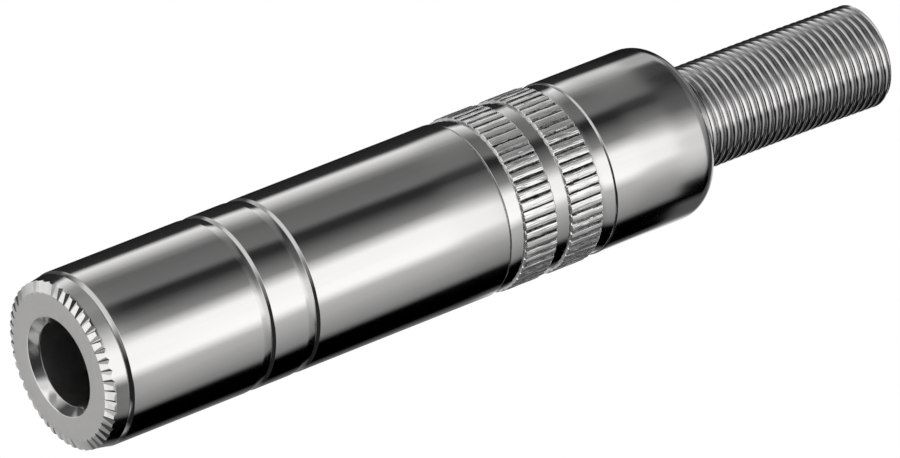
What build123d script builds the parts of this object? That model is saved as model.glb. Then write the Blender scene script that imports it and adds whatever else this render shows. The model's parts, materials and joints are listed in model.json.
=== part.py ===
from build123d import *
import os
from math import atan2, cos, degrees, radians, sin, sqrt

# Inline audio jack socket for a 6.35 mm three-pole plug, in nickel-plated metal.
# It stands on its mouth. The axis is +Z: the plug goes in from below, at z = 0,
# and the cable leaves through the bend spring at the top.
# Lengths are in millimetres and angles in degrees.

# The plug that the socket takes, with depths from the mouth face
plug_diameter = 6.35
plug_reach = 31.75
ring_contact_depth = 21.5
tip_contact_depth = 27.0
ring_contact_press = 0.425
tip_contact_press = 0.825

# Room between the plug's bore and the barrel's outside that the walls below suit.
# They grow and shrink with the real room when the plug or the barrel changes size.
wall_room = 3.5

# Fits
plug_clearance = 0.025
seat_clearance = 0.05
turning_clearance = 0.10
thread_height = 0.12
thread_clearance = 0.05

# Mouth bushing
countersink_width = 0.65
countersink_depth = 0.6
flange_step = 0.1
flange_thickness = 1.6
rim_step = 0.16
rim_width = 0.74
rim_bevel = 0.3
rim_tooth_length = 0.36
rim_tooth_depth = 0.4
rim_tooth_inset = 0.12
rim_teeth = 48
shank_wall = 0.7
bushing_length = 12.0

# Front barrel
barrel_diameter = 13.4
barrel_wall = 1.2
barrel_length = 34.4
barrel_edge = 0.12
barrel_end_bevel = 0.2
web_thickness = 1.8
line_places = (14.5, 18.5)
line_width = 1.05
line_depth = 0.22
neck_wall = 0.5
neck_length = 7.0
neck_chamfer = 0.3

# Rear shell, with places along it measured from its rim
shell_length = 19.6
shell_wall = 0.95
shell_end_wall = 1.0
shell_thread_length = 7.4
shoulder_radius = 1.85
shell_end_land = 0.4
groove_step = 0.13
groove_end = 9.6
knurl_rise = 0.1
knurl_starts = (1.2, 5.4)
knurl_length = 2.95
knurl_teeth = 54
knurl_groove_angle = 2.2
knurl_groove_depth = 0.16

# Spring ferrule and bend spring
spring_diameter = 8.0
spring_wire = 0.63
spring_pitch = 0.648
spring_turns = 25
spring_steps = 14
wire_sides = 5
collar_length = 1.1
flange_width = 0.6
ferrule_flange = 0.8
spigot_clearance = 0.06
spigot_wall = 0.35
spigot_length = 3.0

# Ground frame, one strip of sheet
frame_sheet = 0.6
frame_ring_gap = 0.2
arm_gap = 0.075
arm_width = 3.7
arm_bend_radius = 0.2
arm_neck_width = 2.0
arm_neck_gap = 1.4
arm_neck_length = 3.8
clamp_length = 3.2
clamp_inside_diameter = 6.0
clamp_side = 2.7

# Washer and nut that hold the frame on the bushing
nut_gap = 0.1
nut_thickness = 1.4
nut_slot = 1.0
nut_slot_depth = 0.5
washer_share = 2 / 3
washer_thickness = 0.5
washer_split = 0.5

# Contact stack
plug_stop_gap = 1.75
stack_length = 7.5
stack_width = 4.0
insulator_thickness = 0.6
spacer_count = 2
clamp_plate_thickness = 0.4
leaf_thickness = 0.3
leaf_width = 3.0
leaf_bend_radius = 0.35
contact_slope_length = 1.8
tag_width = 2.4
tag_hole_diameter = 1.2
ring_tag_length = 4.2
tip_tag_length = 5.0
screw_diameter = 1.6
screw_spacing = 3.7
screw_head_diameter = 2.2
screw_head_height = 0.35
screw_slot = 0.3
screw_slot_depth = 0.2
screw_end = 0.1
sleeve_wall = 0.3

# Insulating liner in the rear shell
liner_wall = 0.4
liner_front_gap = 0.6

# Radii worked out from the sizes above
bore_radius = plug_diameter / 2 + plug_clearance
barrel_radius = barrel_diameter / 2
wall_scale = (barrel_radius - bore_radius) / wall_room
shank_radius = bore_radius + wall_scale * shank_wall
shank_hole_radius = shank_radius + seat_clearance
barrel_bore_radius = barrel_radius - wall_scale * barrel_wall
flange_radius = barrel_radius - flange_step
rim_radius = flange_radius - rim_step
face_radius = rim_radius - rim_width
neck_radius = barrel_bore_radius + wall_scale * neck_wall
shell_thread_radius = neck_radius + thread_height + thread_clearance
shell_inside_radius = barrel_radius - wall_scale * shell_wall
sheet = wall_scale * frame_sheet
arm_span = wall_scale * arm_width
insulator = wall_scale * insulator_thickness
clamp_sheet = wall_scale * clamp_plate_thickness
head_height = wall_scale * screw_head_height
groove_radius = barrel_radius - groove_step
knurl_radius = barrel_radius + knurl_rise
spring_radius = spring_diameter / 2
shell_hole_radius = spring_radius + seat_clearance
ferrule_flange_radius = spring_radius + flange_width
inside_corner = shell_inside_radius - ferrule_flange_radius
coil_inside_radius = (spring_radius - spring_wire) * cos(radians(180 / spring_steps))
spigot_radius = coil_inside_radius - spigot_clearance
ferrule_bore_radius = spigot_radius - spigot_wall
liner_outside_radius = shell_inside_radius - turning_clearance
liner_inside_radius = liner_outside_radius - liner_wall
sleeve_inside_radius = screw_diameter / 2 + seat_clearance
sleeve_outside_radius = sleeve_inside_radius + sleeve_wall
stack_hole_radius = sleeve_outside_radius + seat_clearance

# Places along Z, from the mouth face
barrel_end = flange_thickness + barrel_length
web_end = flange_thickness + web_thickness
frame_ring_end = web_end + sheet
washer_end = frame_ring_end + washer_thickness
nut_end = washer_end + nut_thickness
neck_end = barrel_end + neck_length
shell_end = barrel_end + shell_length
shell_floor = shell_end - shell_end_wall
collar_end = shell_end + collar_length
stack_start = plug_reach + plug_stop_gap
stack_end = stack_start + stack_length
arm_neck_start = stack_end + arm_neck_gap
clamp_start = arm_neck_start + arm_neck_length
stack_middle = (stack_start + stack_end) / 2
screw_places = (stack_middle - screw_spacing / 2, stack_middle + screw_spacing / 2)

# Distances from the axis along X: the frame's arm and the ring contact are on the
# -X side, the tip contact and the screw heads on the +X side
arm_outside = sqrt((barrel_bore_radius - arm_gap) ** 2 - (arm_span / 2) ** 2)
arm_inside = arm_outside - sheet
nut_radius = arm_inside - nut_gap
washer_radius = shank_hole_radius + washer_share * (nut_radius - shank_hole_radius)
leaf_outside = arm_inside - insulator
leaf_inside = leaf_outside - leaf_thickness
spacer_thickness = 2 * leaf_inside / spacer_count
clamp_plate_inside = leaf_outside + insulator
clamp_plate_outside = clamp_plate_inside + clamp_sheet


def turned(points):
    """A solid of revolution about Z from (radius, z) points."""
    profile = Plane.XZ * make_face(Polyline(points, close=True))
    return revolve(profile, Axis.Z)


def tube(outside, inside, start, end):
    """A plain round tube along Z."""
    return turned([(inside, start), (outside, start), (outside, end), (inside, end)])


def cross_rod(radius, start, end, z):
    """A round rod along X, from x = start to x = end, at height z."""
    place = Plane(origin=(start, 0, z), x_dir=(0, 1, 0), z_dir=(1, 0, 0))
    return extrude(place * Circle(radius), end - start)


def block(x_start, x_end, width, z_start, z_end):
    """A box between two X and two Z places, centred on Y."""
    middle = ((x_start + x_end) / 2, 0, (z_start + z_end) / 2)
    return Pos(*middle) * Box(x_end - x_start, width, z_end - z_start)


def polar(radius, angle):
    """A point at a radius and an angle round the axis."""
    return (radius * cos(radians(angle)), radius * sin(radians(angle)))


def make_mouth_bushing():
    """Serrated flange, countersunk bore and threaded shank."""
    tooth_end = rim_bevel + rim_tooth_length
    body = turned([
        (bore_radius, countersink_depth),
        (bore_radius + countersink_width, 0),
        (face_radius - rim_tooth_depth, 0),
        (face_radius - rim_tooth_depth, tooth_end),
        (rim_radius, tooth_end),
        (flange_radius, flange_thickness),
        (shank_radius, flange_thickness),
        (shank_radius, bushing_length),
        (bore_radius, bushing_length),
    ])
    return body + rim_crown()


def rim_crown():
    """Bevelled ring round the mouth, with V notches that start in the flat face and deepen outwards."""
    tooth_end = rim_bevel + rim_tooth_length
    bevel_angle = degrees(atan2(rim_radius - face_radius, rim_bevel))
    rim = Pos(0, 0, rim_bevel) * RegularPolygon(rim_radius, rim_teeth)
    crown = extrude(rim, rim_tooth_length) + extrude(rim, rim_bevel, dir=(0, 0, -1), taper=bevel_angle)
    crown -= Cylinder(face_radius - rim_tooth_depth, 4 * flange_thickness)
    start = face_radius - rim_tooth_inset
    along = Vector(rim_radius - start, 0, tooth_end)
    place = Plane(origin=(start, 0, 0), x_dir=(0, 1, 0), z_dir=along)
    width = rim_tooth_depth
    section = Polyline([(0, 0), (width, -width), (-width, -width)], close=True)
    notch = extrude(place * make_face(section), 2 * along.length)
    return crown - [Rot(0, 0, 360 * i / rim_teeth) * notch for i in range(rim_teeth)]


def make_front_barrel():
    """Tube with a web at its mouth end, two engraved lines and a threaded neck."""
    outside = [
        (barrel_radius - barrel_edge, flange_thickness),
        (barrel_radius, flange_thickness + barrel_edge),
    ]
    for place in line_places:
        outside += [
            (barrel_radius, place - line_width),
            (barrel_radius - line_depth, place - line_depth / 2),
            (barrel_radius, place),
        ]
    outside += [
        (barrel_radius, barrel_end - barrel_end_bevel),
        (barrel_radius - barrel_end_bevel, barrel_end),
        (neck_radius, barrel_end),
        (neck_radius, neck_end - neck_chamfer),
        (neck_radius - neck_chamfer, neck_end),
    ]
    inside = [
        (barrel_bore_radius, neck_end),
        (barrel_bore_radius, web_end),
        (shank_hole_radius, web_end),
        (shank_hole_radius, flange_thickness),
    ]
    return turned(outside + inside)


def make_lock_washer():
    """Split spring washer, pressed flat between the frame and the nut."""
    ring = tube(washer_radius, shank_hole_radius, frame_ring_end, washer_end)
    middle = Pos(shank_hole_radius, 0, (frame_ring_end + washer_end) / 2)
    return ring - middle * Rot(30, 0, 0) * Box(shank_radius, washer_split, 4 * washer_thickness)


def make_bushing_nut():
    """Round nut on the bushing's shank, with four slots for a pin spanner."""
    ring = tube(nut_radius, shank_hole_radius, washer_end, nut_end)
    slot = Pos(shank_hole_radius, 0, nut_end) * Box(shank_radius, nut_slot, 2 * nut_slot_depth)
    return ring - [Rot(0, 0, 45 + 90 * i) * slot for i in range(4)]


def make_ground_frame():
    """Stamped strip: ring round the bushing, arm, solder hole and open cable clamp."""
    bend_outside = arm_bend_radius + sheet
    bend_start = bend_outside - arm_outside
    ring = tube(barrel_bore_radius - frame_ring_gap, shank_hole_radius, web_end, frame_ring_end)
    ring -= block(-barrel_radius, bend_start, barrel_diameter, 0, 2 * web_end)
    corner = block(-arm_outside, bend_start, arm_span, web_end, web_end + bend_outside)
    bend_centre = Pos(bend_start, 0, web_end + bend_outside) * Rot(90, 0, 0)
    quarter = bend_centre * (Cylinder(bend_outside, arm_span) - Cylinder(arm_bend_radius, arm_span))
    frame = ring + (corner & quarter)
    frame += block(-arm_outside, -arm_inside, arm_span, web_end + bend_outside, arm_neck_start)
    frame += block(-arm_outside, -arm_inside, arm_neck_width, arm_neck_start, clamp_start)
    frame += cable_clamp()
    for z in screw_places:
        frame -= cross_rod(screw_diameter / 2 + seat_clearance, -barrel_radius, 0, z)
    ground_hole = arm_neck_start + arm_neck_length / 2
    return frame - cross_rod(tag_hole_diameter / 2, -barrel_radius, 0, ground_hole)


def cable_clamp():
    """The frame's end, bent into an open U that is closed on the cable with pliers."""
    inside = clamp_inside_diameter / 2
    outside = inside + sheet
    sides = Pos(clamp_side / 2, 0)
    section = Circle(outside) + sides * Rectangle(clamp_side, 2 * outside)
    section -= Circle(inside) + sides * Rectangle(clamp_side, 2 * inside)
    section -= Pos(clamp_side + outside, 0) * Rectangle(2 * outside, 4 * outside)
    return Pos(outside - arm_outside, 0, clamp_start) * extrude(section, clamp_length)


def stack_plate(x_start, x_end, hole_radius):
    """A flat plate of the contact stack, with its two screw holes."""
    plate = block(x_start, x_end, stack_width, stack_start, stack_end)
    for z in screw_places:
        plate -= cross_rod(hole_radius, x_start - 1, x_end + 1, z)
    return plate


def make_leaf(side, press, contact_depth, tag_length):
    """A leaf contact: solder tag, root in the stack, leaf and V-shaped contact.

    side is +1 or -1 in X. Its V stands into the plug's path by press.
    """
    tag_end = stack_end + tag_length
    middle = leaf_inside + leaf_thickness / 2
    drop = leaf_inside - (plug_diameter / 2 - press)
    path = [
        (side * middle, tag_end),
        (side * middle, contact_depth + contact_slope_length),
        (side * (middle - drop), contact_depth),
        (side * (middle - drop / 4), contact_depth - contact_slope_length),
    ]
    section = trace(FilletPolyline(path, radius=leaf_bend_radius), line_width=leaf_thickness)
    ribbon = extrude(Plane.XZ * section, stack_width, dir=(0, 1, 0), both=True)
    outline = block(-barrel_radius, barrel_radius, leaf_width, 0, stack_start)
    outline += block(-barrel_radius, barrel_radius, stack_width, stack_start, stack_end)
    outline += block(-barrel_radius, barrel_radius, tag_width, stack_end, tag_end)
    leaf = ribbon & outline
    for z in screw_places:
        leaf -= cross_rod(stack_hole_radius, -barrel_radius, barrel_radius, z)
    return leaf - cross_rod(tag_hole_diameter / 2, -barrel_radius, barrel_radius, tag_end - tag_width / 2)


def make_screw_sleeve(z):
    """Insulating tube that keeps a screw away from the leaf contacts."""
    outside = cross_rod(sleeve_outside_radius, -arm_inside, clamp_plate_inside, z)
    return outside - cross_rod(sleeve_inside_radius, -barrel_radius, barrel_radius, z)


def make_stack_screw(z):
    """Slotted screw from the clamp plate to the frame's arm, which is tapped for it."""
    head_end = clamp_plate_outside + head_height
    screw = cross_rod(screw_diameter / 2, -arm_outside - screw_end, clamp_plate_outside, z)
    screw += cross_rod(screw_head_diameter / 2, clamp_plate_outside, head_end, z)
    return screw - Pos(head_end, 0, z) * Box(2 * screw_slot_depth, 2 * screw_head_diameter, screw_slot)


def make_insulating_liner():
    """Thin plastic tube that keeps the solder tags away from the shell."""
    start = neck_end + liner_front_gap
    end = shell_floor - inside_corner - seat_clearance
    return tube(liner_outside_radius, liner_inside_radius, start, end)


def make_rear_shell():
    """Turned cap with two knurled bands, a rounded shoulder and the spring's hole."""
    groove_top = barrel_end + groove_end
    thread_end = barrel_end + shell_thread_length
    shoulder = min(shoulder_radius, barrel_radius - shell_hole_radius - shell_end_land)
    shell = turned([
        (groove_radius, barrel_end),
        (groove_radius, groove_top),
        (barrel_radius - barrel_edge, groove_top),
        (barrel_radius, groove_top + barrel_edge),
        (barrel_radius, shell_end),
        (shell_hole_radius, shell_end),
        (shell_hole_radius, shell_floor),
        (ferrule_flange_radius, shell_floor),
        (shell_inside_radius, shell_floor - inside_corner),
        (shell_inside_radius, thread_end),
        (shell_thread_radius, thread_end),
        (shell_thread_radius, barrel_end),
    ])
    shell = fillet(rim_at(shell, barrel_radius, shell_end), shoulder)
    for start in knurl_starts:
        shell += Pos(0, 0, barrel_end + start) * knurled_band()
    return shell


def rim_at(solid, radius, z):
    """The circular edge of a given radius at height z."""
    circles = solid.edges().filter_by(GeomType.CIRCLE)
    return min(circles, key=lambda edge: abs(edge.radius - radius) + abs(edge.center().Z - z))


def knurled_band():
    """A ring of flat lands with a narrow V groove between each two."""
    pitch = 360 / knurl_teeth
    outline = []
    for i in range(knurl_teeth):
        start = i * pitch
        outline.append(polar(knurl_radius - knurl_groove_depth, start))
        outline.append(polar(knurl_radius, start + knurl_groove_angle / 2))
        outline.append(polar(knurl_radius, start + pitch - knurl_groove_angle / 2))
    section = make_face(Polyline(outline, close=True)) - Circle((groove_radius + shell_thread_radius) / 2)
    return extrude(section, knurl_length)


def make_spring_ferrule():
    """Flanged bush: its collar fills the shell's hole and its spigot holds the spring."""
    flange_start = shell_floor - ferrule_flange
    return turned([
        (ferrule_bore_radius, flange_start),
        (ferrule_flange_radius, flange_start),
        (ferrule_flange_radius, shell_floor),
        (spring_radius, shell_floor),
        (spring_radius, collar_end),
        (spigot_radius, collar_end),
        (spigot_radius, collar_end + spigot_length),
        (ferrule_bore_radius, collar_end + spigot_length),
    ])


def make_bend_spring():
    """Close-wound coil. Each turn is bent in short straight steps of a many-sided wire."""
    wire_radius = spring_wire / 2
    coil_radius = spring_radius - wire_radius
    coil_start = collar_end + seat_clearance + wire_radius
    points = []
    for i in range(spring_turns * spring_steps + 1):
        x, y = polar(coil_radius, 360 * i / spring_steps)
        points.append((x, y, coil_start + spring_pitch * i / spring_steps))
    path = Polyline(points)
    place = Plane(origin=path @ 0, x_dir=(1, 0, 0), z_dir=path % 0)
    wire = place * RegularPolygon(wire_radius, wire_sides)
    return sweep(wire, path=path, transition=Transition.RIGHT)


def make_pieces():
    """Every piece of the socket by its name."""
    pieces = {
        "mouth_bushing": make_mouth_bushing(),
        "front_barrel": make_front_barrel(),
        "lock_washer": make_lock_washer(),
        "bushing_nut": make_bushing_nut(),
        "ground_frame": make_ground_frame(),
        "frame_insulator": stack_plate(-arm_inside, -leaf_outside, stack_hole_radius),
        "ring_spring": make_leaf(-1, ring_contact_press, ring_contact_depth, ring_tag_length),
        "tip_spring": make_leaf(1, tip_contact_press, tip_contact_depth, tip_tag_length),
        "clamp_insulator": stack_plate(leaf_outside, clamp_plate_inside, stack_hole_radius),
        "clamp_plate": stack_plate(clamp_plate_inside, clamp_plate_outside, sleeve_inside_radius),
        "insulating_liner": make_insulating_liner(),
        "rear_shell": make_rear_shell(),
        "spring_ferrule": make_spring_ferrule(),
        "bend_spring": make_bend_spring(),
    }
    for i in range(spacer_count):
        start = i * spacer_thickness - leaf_inside
        pieces[f"stack_spacer_{i + 1}"] = stack_plate(start, start + spacer_thickness, stack_hole_radius)
    for name, z in zip(("front", "rear"), screw_places):
        pieces[f"screw_sleeve_{name}"] = make_screw_sleeve(z)
        pieces[f"stack_screw_{name}"] = make_stack_screw(z)
    return pieces


os.makedirs("parts", exist_ok=True)
for name, piece in make_pieces().items():
    export_step(piece, f"parts/{name}.step")
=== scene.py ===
"""Looks of the audio jack socket.

It makes finer meshes for the turned pieces, the bend spring and the leaf contacts, and then the
materials, the light and the camera.
"""
import json
import random
from math import acos, atan2, cos, pi, radians, sin, sqrt

import bmesh
import bpy
from mathutils import Matrix, Vector


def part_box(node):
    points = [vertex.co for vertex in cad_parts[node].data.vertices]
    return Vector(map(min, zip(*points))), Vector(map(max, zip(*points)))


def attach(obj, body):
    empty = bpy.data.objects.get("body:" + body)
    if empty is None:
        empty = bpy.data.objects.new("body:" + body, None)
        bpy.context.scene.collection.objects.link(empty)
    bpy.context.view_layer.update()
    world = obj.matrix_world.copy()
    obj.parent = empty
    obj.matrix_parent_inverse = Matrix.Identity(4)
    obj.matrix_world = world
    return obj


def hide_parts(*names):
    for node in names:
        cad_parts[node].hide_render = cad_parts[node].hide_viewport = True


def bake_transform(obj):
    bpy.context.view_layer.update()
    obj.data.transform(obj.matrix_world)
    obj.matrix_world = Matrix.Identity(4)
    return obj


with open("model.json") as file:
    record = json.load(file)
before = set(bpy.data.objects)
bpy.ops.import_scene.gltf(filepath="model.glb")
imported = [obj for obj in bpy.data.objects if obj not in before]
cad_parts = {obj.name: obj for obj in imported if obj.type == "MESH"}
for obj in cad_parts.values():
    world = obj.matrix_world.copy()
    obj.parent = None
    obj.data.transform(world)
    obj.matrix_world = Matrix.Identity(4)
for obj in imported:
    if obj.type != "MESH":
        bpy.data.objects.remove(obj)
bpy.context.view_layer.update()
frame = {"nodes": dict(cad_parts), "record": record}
nodes = frame["nodes"]
MM = 0.001


def radius_of(node):
    """Outside radius of a round node, in millimetres."""
    low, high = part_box(node)
    return (high[1] - low[1]) / 2 / MM


def span_of(node):
    """Lowest and highest Z of a node, in millimetres."""
    low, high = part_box(node)
    return low[2] / MM, high[2] / MM


# Sizes in millimetres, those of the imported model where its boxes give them
flange_end, neck_end = span_of("front_barrel")
barrel_radius = radius_of("front_barrel")
barrel_end, shell_end = span_of("rear_shell")
knurl_radius = radius_of("rear_shell")
flange_radius = radius_of("mouth_bushing")
bushing_end = span_of("mouth_bushing")[1]
ferrule_start, spigot_end = span_of("spring_ferrule")
ferrule_flange_radius = radius_of("spring_ferrule")
spring_start, spring_end = span_of("bend_spring")
stack_start = span_of("clamp_insulator")[0]

# Roundings: how much of each side of a corner the arc takes
crisp_edge = 0.02
fine_edge = 0.03
soft_edge = 0.05

# Mouth bushing. A rim notch starts tooth_inset inside the face's edge, and its root ends tooth_end behind
# the mouth. notch_spread is half its width over its depth
bore_radius = 3.2
bore_edge = 0.08
countersink_radius = 3.85
countersink_depth = 0.6
countersink_edge = 0.06
face_radius = 5.7
rim_radius = 6.44
rim_bevel = 0.3
rim_teeth = 48
rim_steps = 6
tooth_end = 0.52
tooth_inset = 0.16
notch_spread = 1.4
rim_sharp_angle = 20
flange_edge = 0.1
shank_radius = 3.9
shank_gap = 0.05

# Front barrel. Each engraved line slopes in gently from the mouth's side and ends at a steep wall.
# line_slope_end is in lengths of that wall, and front_bevel_slant is the bevel's length over its width
front_bevel = 0.22
front_bevel_slant = 1.3
front_bevel_edge = 0.04
barrel_end_bevel = 0.2
barrel_bore_radius = 5.5
web_end = 3.4
line_ends = (14.5, 18.5)
line_width = 1.05
line_slope_depth = 0.09
line_slope_end = 1.4
line_depth = 0.17
line_wall = 0.22
neck_radius = 6.0
neck_chamfer = 0.3
thread_pitch = 1.0
thread_height = 0.12
thread_sink = 0.4
thread_start = 0.8
thread_end_gap = 0.3
thread_rows = 10

# Rear shell. outline_ends are where its outline starts and ends, on the threaded wall behind its rim
groove_radius = 6.57
groove_end = 45.6
step_bevel = 0.12
shoulder_radius = 1.85
shell_inside_radius = 5.75
shell_thread_radius = 6.17
shell_thread_end = 43.4
shell_end_wall = 1.0
outline_ends = (0.5, 0.6)

# Knurled bands
knurl_starts = (37.2, 41.4)
knurl_seeds = (5, 8)
knurl_length = 2.95
knurl_side_gap = 0.1
knurl_steps = 12
knurl_teeth = 54
knurl_groove_angle = 1.4
knurl_groove_depth = 0.16
knurl_end = 0.1
# (share of the band's length, share of the lands' full rise) of the rows at a band's end
knurl_end_rows = ((0, 0.0), (0.004, 0.72), (0.03, 0.98))
land_ridges = 12
land_crown = 0.045
land_tilt = 0.007
land_rib = 0.016

# Unevenness of the knurl, in shares of a tooth's width, and in millimetres for heights
tooth_shifts = (-0.04, 0.04)
tooth_width_changes = (-0.12, 0.06)
tooth_height_changes = (-0.012, 0.005)
# (height, radians over the band's length) of its waves
rib_wave = (0.6, 9)
rib_wave_step = 2.3
land_wave = (0.006, 11)
groove_waves = ((0.012, 5), (0.006, 17))

# Spring ferrule and bend spring. The spring leans sideways by spring_bow times its height squared
spring_radius = 4.0
shell_hole_radius = spring_radius + shank_gap
collar_end = 56.7
spigot_radius = 3.226
ferrule_bore_radius = 2.876
ferrule_bore_edge = 0.1
spring_wire = 0.63
spring_turns = 25
spring_bow = 0.0009
spring_steps = 60
wire_sides = 12
spring_sharp_angle = 40

# Where each leaf contact's straight part starts, and into how many lengths it is cut
leaf_straight_ends = {"ring_spring": 23.4, "tip_spring": 28.9}
leaf_cuts = 12
leaf_sharp_angle = 30

turned_columns = 240


# Mesh tools

weld_distance = 0.0005
cut_tolerance = 0.00001
usual_sharp_angle = 28
flat_corner = 89
side_share = 2.2
edge_steps = 3
large_rounding = 1
large_steps = 14


def finish_mesh(name, bm, sharp_angle):
    """A shaded object from a bmesh built in millimetres."""
    bmesh.ops.remove_doubles(bm, verts=bm.verts, dist=weld_distance)
    bmesh.ops.recalc_face_normals(bm, faces=bm.faces)
    mesh = bpy.data.meshes.new(name)
    bm.to_mesh(mesh)
    bm.free()
    mesh.transform(Matrix.Scale(MM, 4))
    mesh.shade_smooth()
    mesh.set_sharp_from_angle(angle=radians(sharp_angle))
    piece = bpy.data.objects.new(name, mesh)
    bpy.context.scene.collection.objects.link(piece)
    return piece


def ring_solid(name, rows, angles, sharp_angle=usual_sharp_angle):
    """A closed ring. Each row is (radius, z), or a function of the angle that gives (radius, z, angle)."""
    bm = bmesh.new()
    rings = []
    for row in rows:
        ring = []
        for angle in angles:
            radius, z, turn = row(angle) if callable(row) else (*row, angle)
            ring.append(bm.verts.new((radius * cos(turn), radius * sin(turn), z)))
        rings.append(ring)
    count = len(angles)
    for i, ring in enumerate(rings):
        following = rings[(i + 1) % len(rings)]
        for j in range(count):
            k = (j + 1) % count
            bm.faces.new((ring[j], ring[k], following[k], following[j]))
    return finish_mesh(name, bm, sharp_angle)


def even_angles(count):
    """Angles spread evenly over a full turn."""
    return [2 * pi * i / count for i in range(count)]


def rounded(corners, closed=False):
    """(radius, z) rows of an outline with its corners rounded.

    A corner is (radius, z) or (radius, z, rounding).
    """
    rows = []
    for i, corner in enumerate(corners):
        if not closed and i in (0, len(corners) - 1):
            rows.append(corner[:2])
            continue
        here = Vector(corner[:2])
        before = Vector(corners[i - 1][:2]) - here
        after = Vector(corners[(i + 1) % len(corners)][:2]) - here
        if len(corner) > 2:
            cut = corner[2]
        else:
            cut = min(fine_edge, before.length / side_share, after.length / side_share)
        steps = large_steps if cut >= large_rounding else edge_steps
        rows += corner_arc(here, before.normalized(), after.normalized(), cut, steps)
    return rows


def corner_arc(here, before, after, cut, steps):
    """Points of the arc that touches both sides of a corner, at the distance cut from it.

    A corner that is all but straight keeps its one point.
    """
    half = acos(max(-1, min(1, before.dot(after)))) / 2
    if half > radians(flat_corner):
        return [tuple(here)]
    middle = (before + after).normalized()
    centre = here + middle * (cut / cos(half))
    first = here + before * cut - centre
    last = here + after * cut - centre
    turn = first.angle_signed(last)
    arc = []
    for i in range(steps + 1):
        arm = first.copy()
        arm.rotate(Matrix.Rotation(-turn * i / steps, 2))
        arc.append(tuple(centre + arm))
    return arc


# Pieces

def crown_row(radius):
    """A row of the serrated rim: a bevel with V notches, in four columns a tooth.

    The columns are the notch's root, its two edges and the middle of the land beside it.
    """
    start = face_radius - tooth_inset
    root = (radius - start) * tooth_end / (rim_radius - start)
    level = max(0, radius - face_radius) * rim_bevel / (rim_radius - face_radius)
    quarter = pi / rim_teeth / 2
    half_width = notch_spread * (root - level) * cos(atan2(tooth_end, rim_radius - start)) / radius

    def place(angle):
        step = (round(angle / quarter) + 2) % 4 - 2
        if step == 0:
            return radius, root, angle
        if step == -2:
            return radius, level, angle
        return radius, level, angle + step * (half_width - quarter)
    return place


def make_mouth_bushing():
    """Flange with the serrated rim, countersunk bore and shank."""
    inside = rounded([
        (shank_radius, flange_end),
        (shank_radius, bushing_end),
        (bore_radius, bushing_end),
        (bore_radius, countersink_depth, bore_edge),
        (countersink_radius, 0, countersink_edge),
        (face_radius - 2 * tooth_inset, 0),
    ])
    crown_start = face_radius - tooth_inset
    crown_width = rim_radius - crown_start
    crown = [crown_row(crown_start + crown_width * i / rim_steps) for i in range(rim_steps + 1)]
    flange = rounded([
        (rim_radius, tooth_end + fine_edge),
        (flange_radius, flange_end - flange_edge),
        (flange_radius - flange_edge, flange_end),
        (shank_radius, flange_end),
    ])
    rows = inside + crown + flange[:-1]
    return ring_solid("bushing_fine", rows, even_angles(4 * rim_teeth), rim_sharp_angle)


def thread_row(z, fade):
    """A row of the neck, raised where the thread's helix passes."""
    def place(angle):
        phase = (z / thread_pitch - angle / (2 * pi)) % 1
        ridge = 1 - abs(2 * phase - 1)
        swell = ridge * (1 + thread_sink) - thread_sink
        return neck_radius + fade * thread_height * swell, z, angle
    return place


def thread_rows_between(start, end):
    """The rows of the thread, which fades in and out over one pitch at its ends."""
    count = int((end - start) / thread_pitch * thread_rows)
    step = (end - start) / count
    rows = []
    for i in range(1, count):
        fade = min(1, i / thread_rows, (count - i) / thread_rows)
        rows.append(thread_row(start + i * step, fade))
    return rows


def engraved_line(end):
    """Corners of one engraved line, which ends with its steep wall."""
    return [
        (barrel_radius, end - line_width, soft_edge),
        (barrel_radius - line_slope_depth, end - line_slope_end * line_wall),
        (barrel_radius - line_depth, end - line_wall, crisp_edge),
        (barrel_radius, end, fine_edge),
    ]


def make_front_barrel():
    """Barrel with its engraved lines, end bevels and threaded neck."""
    corners = [
        (shank_radius + shank_gap, flange_end),
        (barrel_radius - front_bevel, flange_end),
        (barrel_radius, flange_end + front_bevel * front_bevel_slant, front_bevel_edge),
    ]
    for end in line_ends:
        corners += engraved_line(end)
    corners += [
        (barrel_radius, barrel_end - barrel_end_bevel, soft_edge),
        (barrel_radius - barrel_end_bevel, barrel_end),
        (neck_radius, barrel_end, soft_edge),
        (neck_radius, barrel_end + thread_start),
    ]
    threads_end = neck_end - neck_chamfer - thread_end_gap
    tail = rounded([
        (neck_radius, threads_end),
        (neck_radius, neck_end - neck_chamfer),
        (neck_radius - neck_chamfer, neck_end),
        (barrel_bore_radius, neck_end),
        (barrel_bore_radius, web_end),
        (shank_radius + shank_gap, web_end),
        (shank_radius + shank_gap, flange_end),
    ])
    rows = rounded(corners) + thread_rows_between(barrel_end + thread_start, threads_end) + tail[:-1]
    return ring_solid("barrel_fine", rows, even_angles(turned_columns))


# Places across a tooth, in shares of its width: the groove's root at 0, then the land's ridges
tooth_tolerance = 1e-6
groove_half_width = knurl_groove_angle / 360 * knurl_teeth / 2
land_width = 1 - 2 * groove_half_width
tooth_marks = [0, *(groove_half_width + land_width * i / land_ridges for i in range(land_ridges + 1))]


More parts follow.
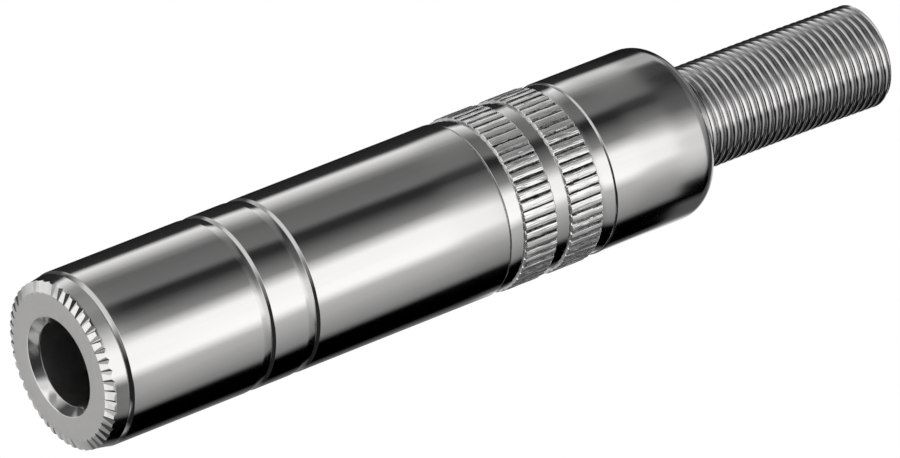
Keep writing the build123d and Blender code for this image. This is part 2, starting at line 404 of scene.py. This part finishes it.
class Knurl:
    """A band of crowned lands with a narrow groove between each two.

    The lands are uneven and finely ribbed, as a rolled knurl's are.
    """

    def __init__(self, start, seed):
        rng = random.Random(seed)
        self.start = start
        self.middles = [rng.uniform(*tooth_shifts) for _ in range(knurl_teeth)]
        self.widths = [rng.uniform(*tooth_width_changes) for _ in range(knurl_teeth)]
        self.heights = [rng.uniform(*tooth_height_changes) for _ in range(knurl_teeth)]
        self.tilts = [rng.uniform(-1, 1) for _ in range(knurl_teeth)]
        self.phases = [rng.uniform(0, 2 * pi) for _ in range(knurl_teeth)]
        self.ribs = [[rng.uniform(-1, 0) for _ in tooth_marks] for _ in range(knurl_teeth)]

    def sunk(self, tooth, mark, across, share):
        """How far a place lies below the lands' middle: across the tooth, at a share of the band's length."""
        if mark == 0:
            return knurl_groove_depth
        phase = self.phases[tooth]
        off_middle = (across - 0.5) / (0.5 - groove_half_width)
        height, waves = rib_wave
        wave = height * sin(waves * share + phase + rib_wave_step * mark)
        rib = land_rib * self.ribs[tooth][mark] * (1 + wave)
        sunk = land_crown * off_middle ** 2 - rib
        height, waves = land_wave
        sunk -= height * sin(waves * share + 2 * phase) + land_tilt * self.tilts[tooth] * off_middle
        return sunk

    def shift(self, tooth, mark, across, share):
        """How far a place is shifted round the band, in shares of a tooth."""
        if mark == 0:
            return self.middles[tooth]
        wander = self.middles[tooth]
        for height, waves in groove_waves:
            wander += height * sin(waves * share + self.phases[tooth])
        return wander + (across - 0.5) * self.widths[tooth]

    def row(self, share, rise):
        """The row at a share of the band's length, with its lands at a share of their full rise."""
        z = self.start + share * knurl_length

        def place(angle):
            turn = angle / (2 * pi) * knurl_teeth
            teeth_before = int(turn + tooth_tolerance)
            tooth = teeth_before % knurl_teeth
            across = turn - teeth_before
            mark = min(range(len(tooth_marks)), key=lambda i: abs(tooth_marks[i] - across))
            top = knurl_radius + self.heights[tooth]
            radius = min(knurl_radius, top - self.sunk(tooth, mark, across, share))
            shift = self.shift(tooth, mark, across, share)
            return groove_radius + (radius - groove_radius) * rise, z, angle + shift / knurl_teeth * 2 * pi
        return place

    def rows(self):
        """Every row of the band, from end to end."""
        start = [self.row(share, rise) for share, rise in knurl_end_rows]
        middle = [self.row(i / knurl_steps, 1) for i in range(1, knurl_steps)]
        end = [self.row(1 - share, rise) for share, rise in reversed(knurl_end_rows)]
        return start + middle + end


def make_rear_shell():
    """Rear shell with its two knurled bands and round shoulder."""
    angles = [(i + mark) * 2 * pi / knurl_teeth for i in range(knurl_teeth) for mark in tooth_marks]
    rim = rounded([
        (shell_thread_radius, barrel_end + outline_ends[0]),
        (shell_thread_radius, barrel_end),
        (groove_radius, barrel_end, soft_edge),
        (groove_radius, knurl_starts[0]),
    ])[:-1]
    between = [
        (groove_radius, knurl_starts[0] + knurl_length + knurl_side_gap),
        (groove_radius, knurl_starts[1] - knurl_side_gap),
    ]
    rear = rounded([
        (groove_radius, knurl_starts[1] + knurl_length + knurl_side_gap),
        (groove_radius, groove_end, crisp_edge),
        (barrel_radius - step_bevel, groove_end, crisp_edge),
        (barrel_radius, groove_end + step_bevel, soft_edge),
        (barrel_radius, shell_end, shoulder_radius),
        (shell_hole_radius, shell_end),
        (shell_hole_radius, shell_end - shell_end_wall),
        (shell_inside_radius, shell_end - shell_end_wall, shell_inside_radius - ferrule_flange_radius),
        (shell_inside_radius, shell_thread_end),
        (shell_thread_radius, shell_thread_end),
        (shell_thread_radius, barrel_end + outline_ends[1]),
    ])
    front_band, rear_band = (Knurl(start, seed).rows() for start, seed in zip(knurl_starts, knurl_seeds))
    return ring_solid("shell_fine", rim + front_band + between + rear_band + rear, angles)


def make_spring_ferrule():
    """Flanged bush with the collar that shows behind the shell."""
    rows = rounded([
        (ferrule_bore_radius, ferrule_start),
        (ferrule_flange_radius, ferrule_start),
        (ferrule_flange_radius, shell_end - shell_end_wall),
        (spring_radius, shell_end - shell_end_wall),
        (spring_radius, collar_end, soft_edge),
        (spigot_radius, collar_end),
        (spigot_radius, spigot_end),
        (ferrule_bore_radius, spigot_end, ferrule_bore_edge),
    ], closed=True)
    return ring_solid("ferrule_fine", rows, even_angles(turned_columns // 2))


def wire_ring(bm, angle, height):
    """One ring of points round the spring's wire, cut off level at the spring's two ground ends."""
    wire_radius = spring_wire / 2
    outwards = Vector((cos(angle), sin(angle), 0))
    centre = outwards * (spring_radius - wire_radius) + Vector((0, 0, height))
    ring = []
    for k in range(wire_sides):
        turn = 2 * pi * k / wire_sides
        across = wire_radius * cos(turn)
        z = max(spring_start, min(spring_end, centre.z + wire_radius * sin(turn)))
        chord = sqrt(max(0, wire_radius ** 2 - (z - centre.z) ** 2))
        point = centre + outwards * max(-chord, min(chord, across))
        point.z = z
        point.x += spring_bow * (z - spring_start) ** 2
        ring.append(bm.verts.new(point))
    return ring


def make_bend_spring():
    """Close-wound coil of round wire, a little bowed.

    It has almost a turn more at each end, which is ground away to a flat sliver.
    """
    first = spring_start + spring_wire / 2
    pitch = (spring_end - spring_start - spring_wire) / spring_turns
    bm = bmesh.new()
    rings = []
    for i in range(2 - spring_steps, (spring_turns + 1) * spring_steps - 1):
        rings.append(wire_ring(bm, 2 * pi * i / spring_steps, first + pitch * i / spring_steps))
    for ring, following in zip(rings, rings[1:]):
        for j in range(wire_sides):
            k = (j + 1) % wire_sides
            bm.faces.new((ring[j], ring[k], following[k], following[j]))
    bm.faces.new(rings[0])
    bm.faces.new(rings[-1])
    return finish_mesh("spring_fine", bm, spring_sharp_angle)


def make_leaf(node):
    """A leaf contact in its own shape, cut across its straight part into short lengths."""
    bm = bmesh.new()
    bm.from_mesh(nodes[node].data)
    bm.transform(Matrix.Scale(1 / MM, 4))
    straight_end = leaf_straight_ends[node]
    for i in range(1, leaf_cuts):
        z = straight_end + (stack_start - straight_end) * i / leaf_cuts
        whole = [*bm.verts, *bm.edges, *bm.faces]
        bmesh.ops.bisect_plane(bm, geom=whole, dist=cut_tolerance, plane_co=(0, 0, z), plane_no=(0, 0, 1))
    return finish_mesh(node + "_fine", bm, leaf_sharp_angle)


# Materials: colours are linear, sizes and heights in metres

noise_low, noise_high = 0.3, 0.7
noise_detail = 3
bump_coarseness = 3
plastic_roughness_spread = 0.06
along_the_axis = (1, 1, 0.06)
along_the_lands = (1, 1, 0.12)


def new_material(name):
    """A material with its node tree and its main shader."""
    material = bpy.data.materials.new(name)
    material.use_nodes = True
    tree = material.node_tree
    return material, tree, tree.nodes["Principled BSDF"]


def noise_of(tree, scale, stretch=(1, 1, 1)):
    """A noise texture in the object's own metres, stretched along an axis by a small share there."""
    place = tree.nodes.new("ShaderNodeTexCoord")
    mapping = tree.nodes.new("ShaderNodeMapping")
    mapping.inputs["Scale"].default_value = stretch
    texture = tree.nodes.new("ShaderNodeTexNoise")
    texture.inputs["Scale"].default_value = scale
    texture.inputs["Detail"].default_value = noise_detail
    tree.links.new(place.outputs["Object"], mapping.inputs["Vector"])
    tree.links.new(mapping.outputs["Vector"], texture.inputs["Vector"])
    return texture.outputs["Fac"]


def spread(tree, value, low, high):
    """A noise value mapped from the range that it mostly keeps to, to low and high."""
    node = tree.nodes.new("ShaderNodeMapRange")
    node.inputs["From Min"].default_value = noise_low
    node.inputs["From Max"].default_value = noise_high
    node.inputs["To Min"].default_value = low
    node.inputs["To Max"].default_value = high
    tree.links.new(value, node.inputs["Value"])
    return node.outputs["Result"]


def tint(tree, value, dark, light):
    """A colour between dark and light."""
    node = tree.nodes.new("ShaderNodeMix")
    node.data_type = "RGBA"
    node.inputs["A"].default_value = (*dark, 1)
    node.inputs["B"].default_value = (*light, 1)
    tree.links.new(value, node.inputs["Factor"])
    return node.outputs["Result"]


def bump(tree, value, distance):
    """A bump of a real height in metres."""
    node = tree.nodes.new("ShaderNodeBump")
    node.inputs["Distance"].default_value = distance
    node.inputs["Strength"].default_value = 1
    tree.links.new(value, node.inputs["Height"])
    return node.outputs["Normal"]


def metal(name, dark, light, smooth, rough, grain, stretch=(1, 1, 1), height=0.0, metallic=1.0):
    """Plated or bare metal, with a colour and a roughness that vary along its grain."""
    material, tree, shader = new_material(name)
    shader.inputs["Metallic"].default_value = metallic
    fine = noise_of(tree, grain, stretch)
    tree.links.new(tint(tree, spread(tree, fine, 0, 1), dark, light), shader.inputs["Base Color"])
    tree.links.new(spread(tree, fine, smooth, rough), shader.inputs["Roughness"])
    if height:
        coarse = noise_of(tree, grain / bump_coarseness, stretch)
        tree.links.new(bump(tree, coarse, height), shader.inputs["Normal"])
    return material


def plastic(name, dark, light, rough, grain=900, height=0.000004):
    """Moulded or laminated plastic with a fine mottle."""
    material, tree, shader = new_material(name)
    fine = noise_of(tree, grain)
    tree.links.new(tint(tree, spread(tree, fine, 0, 1), dark, light), shader.inputs["Base Color"])
    low, high = rough - plastic_roughness_spread, rough + plastic_roughness_spread
    tree.links.new(spread(tree, fine, low, high), shader.inputs["Roughness"])
    tree.links.new(bump(tree, fine, height), shader.inputs["Normal"])
    return material


def make_materials():
    """Every material by its short name.

    A metal has its two colours, its lowest and highest roughness and the scale of its grain.
    """
    return {
        "nickel": metal("bright nickel", (0.70, 0.695, 0.685), (0.74, 0.735, 0.725), 0.07, 0.13, 900,
                        along_the_axis, height=0.0000015),
        "face": metal("turned nickel", (0.705, 0.70, 0.69), (0.72, 0.715, 0.705), 0.22, 0.26, 1500),
        "knurled": metal("knurled nickel", (0.72, 0.717, 0.71), (1.0, 0.995, 0.985), 0.14, 0.28, 6500,
                         along_the_lands, height=0.00002, metallic=0.84),
        # Painted shade: a dark metal for the knurl's grooves, far darker than the nickel, standing in for the
        # shade in them
        "groove": metal("knurl groove painted shade", (0.04, 0.04, 0.038), (0.30, 0.298, 0.295), 0.3, 0.5, 4000),
        "wire": metal("plated spring wire", (0.66, 0.655, 0.65), (0.74, 0.735, 0.73), 0.06, 0.12, 1500),
        "steel": metal("plated steel", (0.56, 0.56, 0.55), (0.64, 0.64, 0.63), 0.28, 0.42, 1500),
        "contact": metal("contact metal", (0.70, 0.58, 0.36), (0.80, 0.70, 0.48), 0.24, 0.36, 1500),
        "laminate": plastic("laminate", (0.26, 0.12, 0.05), (0.38, 0.20, 0.10), 0.5),
        "pale": plastic("pale plastic", (0.74, 0.72, 0.66), (0.84, 0.82, 0.76), 0.55),
        "dark": plastic("dark plastic", (0.018, 0.018, 0.02), (0.04, 0.04, 0.045), 0.35),
    }


def paint(piece, *materials):
    """Gives a piece its materials, first to last slot."""
    piece.data.materials.clear()
    for material in materials:
        piece.data.materials.append(material)


def paint_where(piece, index, heights, radii):
    """Puts the faces whose middle lies between two heights and two radii in another material slot."""
    for face in piece.data.polygons:
        x, y, z = face.center / MM
        if heights[0] < z < heights[1] and radii[0] < sqrt(x * x + y * y) < radii[1]:
            face.material_index = index


def dress_fine_pieces(materials):
    """Puts each fine piece in its node's place, on its node's body where one is given, and returns them by
    node.
    """
    fine = {
        "mouth_bushing": (make_mouth_bushing(), "nickel", "socket", "nickel"),
        "front_barrel": (make_front_barrel(), "nickel", "socket", "nickel"),
        "rear_shell": (make_rear_shell(), "nickel", "rear_shell", "nickel"),
        "spring_ferrule": (make_spring_ferrule(), "nickel", "rear_shell", "nickel"),
        "bend_spring": (make_bend_spring(), "wire", None, "spring_wire"),
        "ring_spring": (make_leaf("ring_spring"), "contact", None, "contact_metal"),
        "tip_spring": (make_leaf("tip_spring"), "contact", None, "contact_metal"),
    }
    for node, (piece, material, body, slot) in fine.items():
        paint(piece, materials[material])
        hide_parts(node)
        if body:
            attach(piece, body)
    return {node: row[0] for node, row in fine.items()}


def paint_details(bushing, shell, materials):
    """The matt face and bore of the bushing, the lands of the knurl, and painted shade in its grooves: a dark
    metal on the groove faces, to darken them where shade falls.
    """
    bushing.data.materials.append(materials["face"])
    paint_where(bushing, 1, (-fine_edge, fine_edge), (countersink_radius, face_radius))
    paint_where(bushing, 1, (countersink_depth, bushing_end), (0, bore_radius + fine_edge))
    shell.data.materials.append(materials["knurled"])
    shell.data.materials.append(materials["groove"])
    groove_top = knurl_radius - 2 * fine_edge
    for start in knurl_starts:
        end = start + knurl_length
        paint_where(shell, 1, (start, end), (groove_radius - fine_edge, knurl_radius))
        # Painted shade: the groove faces get the dark metal, to darken them as shade would
        paint_where(shell, 2, (start + knurl_end, end - knurl_end), (groove_radius, groove_top))


def dress(materials):
    """Replaces the turned pieces, the spring and the leaf contacts, and paints every node."""
    fine = dress_fine_pieces(materials)
    paint_details(fine["mouth_bushing"], fine["rear_shell"], materials)
    spring = fine["bend_spring"]
    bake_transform(spring)
    for leaf, straight_end in leaf_straight_ends.items():
        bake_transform(fine[leaf])
    by_slot = {
        "plated_steel": "steel", "contact_metal": "contact", "laminate": "laminate",
        "pale_plastic": "pale", "dark_plastic": "dark", "nickel": "nickel", "spring_wire": "wire",
    }
    for part in frame["record"]["subparts"]:
        if part["node"] not in fine:
            paint(nodes[part["node"]], materials[by_slot[part["material_slot"]]])


# Light: a round tent of panels, by compass angle in degrees from +X towards +Y

# Each panel is (from, to, brightness at each end), and the light runs evenly from one panel to the next.
# Each set of panels is named for its height on the tent. What the front barrel mirrors
upper_panels = (
    (-180, -170, 0.33, 0.17),
    (-168, -141, 0.16, 0.20),
    (-133, -125, 0.025, 0.03),
    (-120, -99, 0.075, 0.30),
    (-84, -54, 1.25, 1.32),
    (-43, -1, 0.62, 0.27),
    (8, 49, 0.0, 0.0),
    (56, 78, 0.06, 0.22),
    (84, 92, 0.12, 0.05),
    (100, 149, 0.012, 0.03),
    (158, 180, 1.06, 0.36),
)
# What the face, the countersink, the notches and the engraved lines mirror, from the top down
middle_panels = (
    (-180, -120, 0.50, 0.40),
    (-84, -54, 1.25, 1.30),
    (-40, 40, 0.02, 0.02),
    (52, 60, 0.20, 0.20),
    (72, 100, 0.54, 0.58),
    (108, 112, 0.20, 0.10),
    (118, 145, 0.08, 0.08),
    (155, 180, 0.60, 0.33),
)
lower_panels = (
    (-180, -120, 0.80, 0.80),
    (-100, -80, 0.30, 0.20),
    (-65, 18, 0.03, 0.02),
    (31, 44, 0.46, 0.40),
    (55, 62, 0.22, 0.26),
    (70, 108, 0.44, 0.50),
    (116, 124, 0.80, 0.60),
    (134, 156, 0.10, 0.08),
    (168, 176, 0.40, 0.60),
)
skirting_panels = (
    (-180, -120, 0.80, 0.80),
    (-100, -80, 0.30, 0.20),
    (-65, -12, 0.02, 0.02),
    (2, 24, 0.44, 0.50),
    (36, 46, 0.14, 0.14),
    (57, 64, 0.34, 0.38),
    (72, 108, 0.46, 0.50),
    (116, 124, 0.95, 0.95),
    (134, 156, 0.10, 0.08),
    (168, 176, 0.40, 0.60),
)
base_panels = (
    (-180, -165, 0.36, 0.36),
    (-150, -122, 1.00, 1.00),
    (-98, -80, 0.16, 0.10),
    (-60, -35, 0.04, 0.04),
    (-20, -5, 0.16, 0.22),
    (8, 38, 0.10, 0.05),
    (54, 150, 1.20, 1.15),
    (165, 180, 0.50, 0.40),
)
ground_panels = (
    (-180, -155, 1.20, 1.20),
    (-144, -122, 0.90, 0.90),
    (-98, -80, 0.16, 0.10),
    (-60, -35, 0.04, 0.04),
    (-20, 36, 0.08, 0.08),
    (52, 180, 1.20, 1.20),
)
# What the rear shell mirrors
rear_panels = (
    (-180, -170, 0.30, 0.23),
    (-160, -144, 0.21, 0.20),
    (-136, -128, 0.06, 0.05),
    (-122, -108, 0.12, 0.24),
    (-98, -90, 0.46, 0.75),
    (-80, -58, 1.20, 1.20),
    (-50, -40, 0.78, 0.60),
    (-30, -1, 0.45, 0.24),
    (8, 46, 0.0, 0.0),
    (54, 62, 0.08, 0.18),
    (70, 88, 0.90, 1.10),
    (94, 104, 0.14, 0.03),
    (112, 146, 0.015, 0.03),
    (154, 160, 0.78, 0.80),
    (168, 176, 0.62, 0.38),
)
# What the edge of the shoulder and the spring mirror
edge_panels = (
    (-180, -168, 0.07, 0.07),
    (-158, -145, 0.045, 0.04),
    (-132, -106, 0.09, 0.15),
    (-92, -88, 0.40, 0.50),
    (-76, -50, 0.90, 0.85),
    (-40, -26, 0.75, 0.50),
    (-16, -10, 0.26, 0.05),
    (-4, 14, 0.0, 0.0),
    (24, 46, 0.10, 0.10),
    (56, 66, 0.14, 0.50),
    (76, 88, 0.75, 0.75),
    (94, 104, 0.12, 0.03),
    (112, 146, 0.01, 0.02),
    (154, 172, 0.50, 0.50),
    (178, 180, 0.12, 0.10),
)
ceiling_panels = (
    (-180, -140, 0.12, 0.13),
    (-115, -95, 0.22, 0.34),
    (-80, -60, 0.38, 0.34),
    (-30, -5, 0.20, 0.05),
    (10, 35, 0.04, 0.06),
    (55, 85, 0.60, 0.90),
    (95, 130, 0.25, 0.12),
    (140, 160, 0.40, 0.16),
    (170, 180, 0.12, 0.12),
)
# The panels above the ground ones, and between which heights, in shares of the tent's radius, they take over
tent_bands = (
    (base_panels, -0.86, -0.82),
    (skirting_panels, -0.73, -0.68),
    (lower_panels, -0.50, -0.42),
    (middle_panels, -0.25, -0.1),
    (upper_panels, 0.3, 0.42),
    (rear_panels, 0.672, 0.700),
    (edge_panels, 0.736, 0.752),
    (ceiling_panels, 0.86, 0.92),
)
tent_radius = 0.15
tent_segments = 96
tent_rings = 48
world_level = 0.4
floor_size = 8
floor_place = (0, 0, -0.00002)
floor_grey = 0.9
floor_roughness = 0.9
floor_fade = (0.12, 0.4)
lamp_size = 0.8
lamp_energy = 9
lamp_place = (-0.35, -0.3, 0.9)


def panel_ramp(tree, angle, panels):
    """Colour of the walls by compass angle, from 0 at -180 degrees to 1 at 180."""
    node = tree.nodes.new("ShaderNodeValToRGB")
    ramp = node.color_ramp
    stops = []
    for start, end, first, last in panels:
        stops += [((start + 180) / 360, first), ((end + 180) / 360, last)]
    while len(ramp.elements) < len(stops):
        ramp.elements.new(0.5)
    for element, (place, level) in zip(ramp.elements, stops):
        element.position = place
        element.color = grey(level)
    tree.links.new(angle, node.inputs["Fac"])
    return node.outputs["Color"]


def math_node(tree, operation, *values):
    """The result of a Math node. A value is a number or another node's socket."""
    node = tree.nodes.new("ShaderNodeMath")
    node.operation = operation
    for socket, value in zip(node.inputs, values):
        if isinstance(value, (int, float)):
            socket.default_value = value
        else:
            tree.links.new(value, socket)
    return node.outputs[0]


def mix_colours(tree, factor, first, second):
    """The first colour where the factor is 0 and the second where it is 1."""
    node = tree.nodes.new("ShaderNodeMix")
    node.data_type = "RGBA"
    tree.links.new(first, node.inputs["A"])
    tree.links.new(second, node.inputs["B"])
    tree.links.new(factor, node.inputs["Factor"])
    return node.outputs["Result"]


def step_up(tree, value, start, end):
    """0 below the start and 1 above the end, with a soft step between them."""
    node = tree.nodes.new("ShaderNodeMapRange")
    node.interpolation_type = "SMOOTHSTEP"
    node.inputs["From Min"].default_value = start
    node.inputs["From Max"].default_value = end
    tree.links.new(value, node.inputs["Value"])
    return node.outputs["Result"]


def grey(level):
    """An opaque grey."""
    return level, level, level, 1


def make_world():
    """White to the camera, and an even grey to whatever scatters light."""
    world = bpy.data.worlds.new("studio")
    bpy.context.scene.world = world
    world.use_nodes = True
    tree = world.node_tree
    rays = tree.nodes.new("ShaderNodeLightPath")
    straight = math_node(tree, "MAXIMUM", rays.outputs["Is Camera Ray"], rays.outputs["Is Transmission Ray"])
    level = math_node(tree, "MULTIPLY_ADD", straight, 1 - world_level, world_level)
    tree.links.new(level, tree.nodes["Background"].inputs["Color"])


def make_tent():
    """Round light tent close round the object, which only the shiny surfaces mirror."""
    bpy.ops.mesh.primitive_uv_sphere_add(segments=tent_segments, ring_count=tent_rings, radius=tent_radius)
    tent = bpy.context.object
    tent.name = "light_tent"
    tent.data.shade_smooth()
    for ray in ("camera", "diffuse", "transmission", "volume_scatter", "shadow"):
        setattr(tent, "visible_" + ray, False)
    material, tree, _ = new_material("tent panels")
    place = tree.nodes.new("ShaderNodeTexCoord").outputs["Object"]
    away = tree.nodes.new("ShaderNodeVectorMath")
    away.operation = "NORMALIZE"
    tree.links.new(place, away.inputs[0])
    split = tree.nodes.new("ShaderNodeSeparateXYZ")
    tree.links.new(away.outputs[0], split.inputs[0])
    turn = math_node(tree, "ARCTAN2", split.outputs["Y"], split.outputs["X"])
    angle = math_node(tree, "MULTIPLY_ADD", turn, 1 / (2 * pi), 0.5)
    height = split.outputs["Z"]
    walls = panel_ramp(tree, angle, ground_panels)
    for panels, start, end in tent_bands:
        walls = mix_colours(tree, step_up(tree, height, start, end), walls, panel_ramp(tree, angle, panels))
    glow = tree.nodes.new("ShaderNodeEmission")
    tree.links.new(walls, glow.inputs["Color"])
    tree.links.new(glow.outputs[0], tree.nodes["Material Output"].inputs["Surface"])
    material.cycles.emission_sampling = "NONE"
    paint(tent, material)


def make_floor():
    """Pale floor that carries the shadow and fades into the white. It shows from above only."""
    bpy.ops.mesh.primitive_plane_add(size=floor_size, location=floor_place)
    floor = bpy.context.object
    floor.name = "floor"
    material, tree, shader = new_material("pale floor")
    shader.inputs["Base Color"].default_value = grey(floor_grey)
    shader.inputs["Roughness"].default_value = floor_roughness
    shader.inputs["Specular IOR Level"].default_value = 0
    clear = tree.nodes.new("ShaderNodeBsdfTransparent")
    sides = tree.nodes.new("ShaderNodeNewGeometry")
    rays = tree.nodes.new("ShaderNodeLightPath")
    place = tree.nodes.new("ShaderNodeTexCoord").outputs["Object"]
    away = tree.nodes.new("ShaderNodeVectorMath")
    away.operation = "LENGTH"
    tree.links.new(place, away.inputs[0])
    far = step_up(tree, away.outputs["Value"], *floor_fade)
    unseen = math_node(tree, "MAXIMUM", sides.outputs["Backfacing"], rays.outputs["Is Glossy Ray"])
    unseen = math_node(tree, "MAXIMUM", unseen, far)
    mix = tree.nodes.new("ShaderNodeMixShader")
    tree.links.new(unseen, mix.inputs["Fac"])
    tree.links.new(shader.outputs[0], mix.inputs[1])
    tree.links.new(clear.outputs[0], mix.inputs[2])
    tree.links.new(mix.outputs[0], tree.nodes["Material Output"].inputs["Surface"])
    paint(floor, material)


def make_lamp():
    """One large soft lamp overhead, for the floor's shadow and the matt pieces."""
    data = bpy.data.lights.new("overhead", "AREA")
    data.size = lamp_size
    data.energy = lamp_energy
    lamp = bpy.data.objects.new("overhead", data)
    lamp.location = lamp_place
    lamp.rotation_euler = (-lamp.location).to_track_quat("-Z", "Y").to_euler()
    lamp.visible_glossy = False
    bpy.context.scene.collection.objects.link(lamp)


# Camera: it looks at the mouth from the front and from below, so the axis rises to the right in the picture.
# Angles are in degrees, view_distance and view_origin in metres

picture_width = 900
picture_height = 458
sensor_width = 36
view_angle = 60.68
view_roll = 21.48
view_distance = 0.9724
view_origin = Vector((0, 0, 0.00014))
view_pixel = (60.2, 366.5)
pixels_per_metre = 13895


def make_camera():
    """The camera that was fitted to the photo. view_origin shows at view_pixel, at pixels_per_metre."""
    tilt, roll = radians(view_angle), radians(view_roll)
    forward = Vector((0, sin(tilt), cos(tilt)))
    along = (Vector((0, 0, 1)) - forward * cos(tilt)).normalized()
    side = forward.cross(along)
    right = along * cos(roll) + side * sin(roll)
    down = forward.cross(right)
    focal = pixels_per_metre * view_distance
    offset_x = (view_pixel[0] - picture_width / 2) / focal
    offset_y = (view_pixel[1] - picture_height / 2) / focal
    turn = Vector((0, 0, 1)).rotation_difference(Vector((offset_x, offset_y, 1))).to_matrix()
    axes = turn @ Matrix((right, down, forward))
    data = bpy.data.cameras.new("camera")
    data.sensor_width = sensor_width
    data.lens = focal * sensor_width / picture_width
    camera = bpy.data.objects.new("camera", data)
    place = view_origin - forward * view_distance
    orientation = Matrix((axes[0], -axes[1], -axes[2])).transposed()
    camera.matrix_world = Matrix.Translation(place) @ orientation.to_4x4()
    bpy.context.scene.collection.objects.link(camera)
    bpy.context.scene.camera = camera


dress(make_materials())
make_world()
make_tent()
make_floor()
make_lamp()
make_camera()
bpy.context.scene.view_settings.view_transform = "Standard"
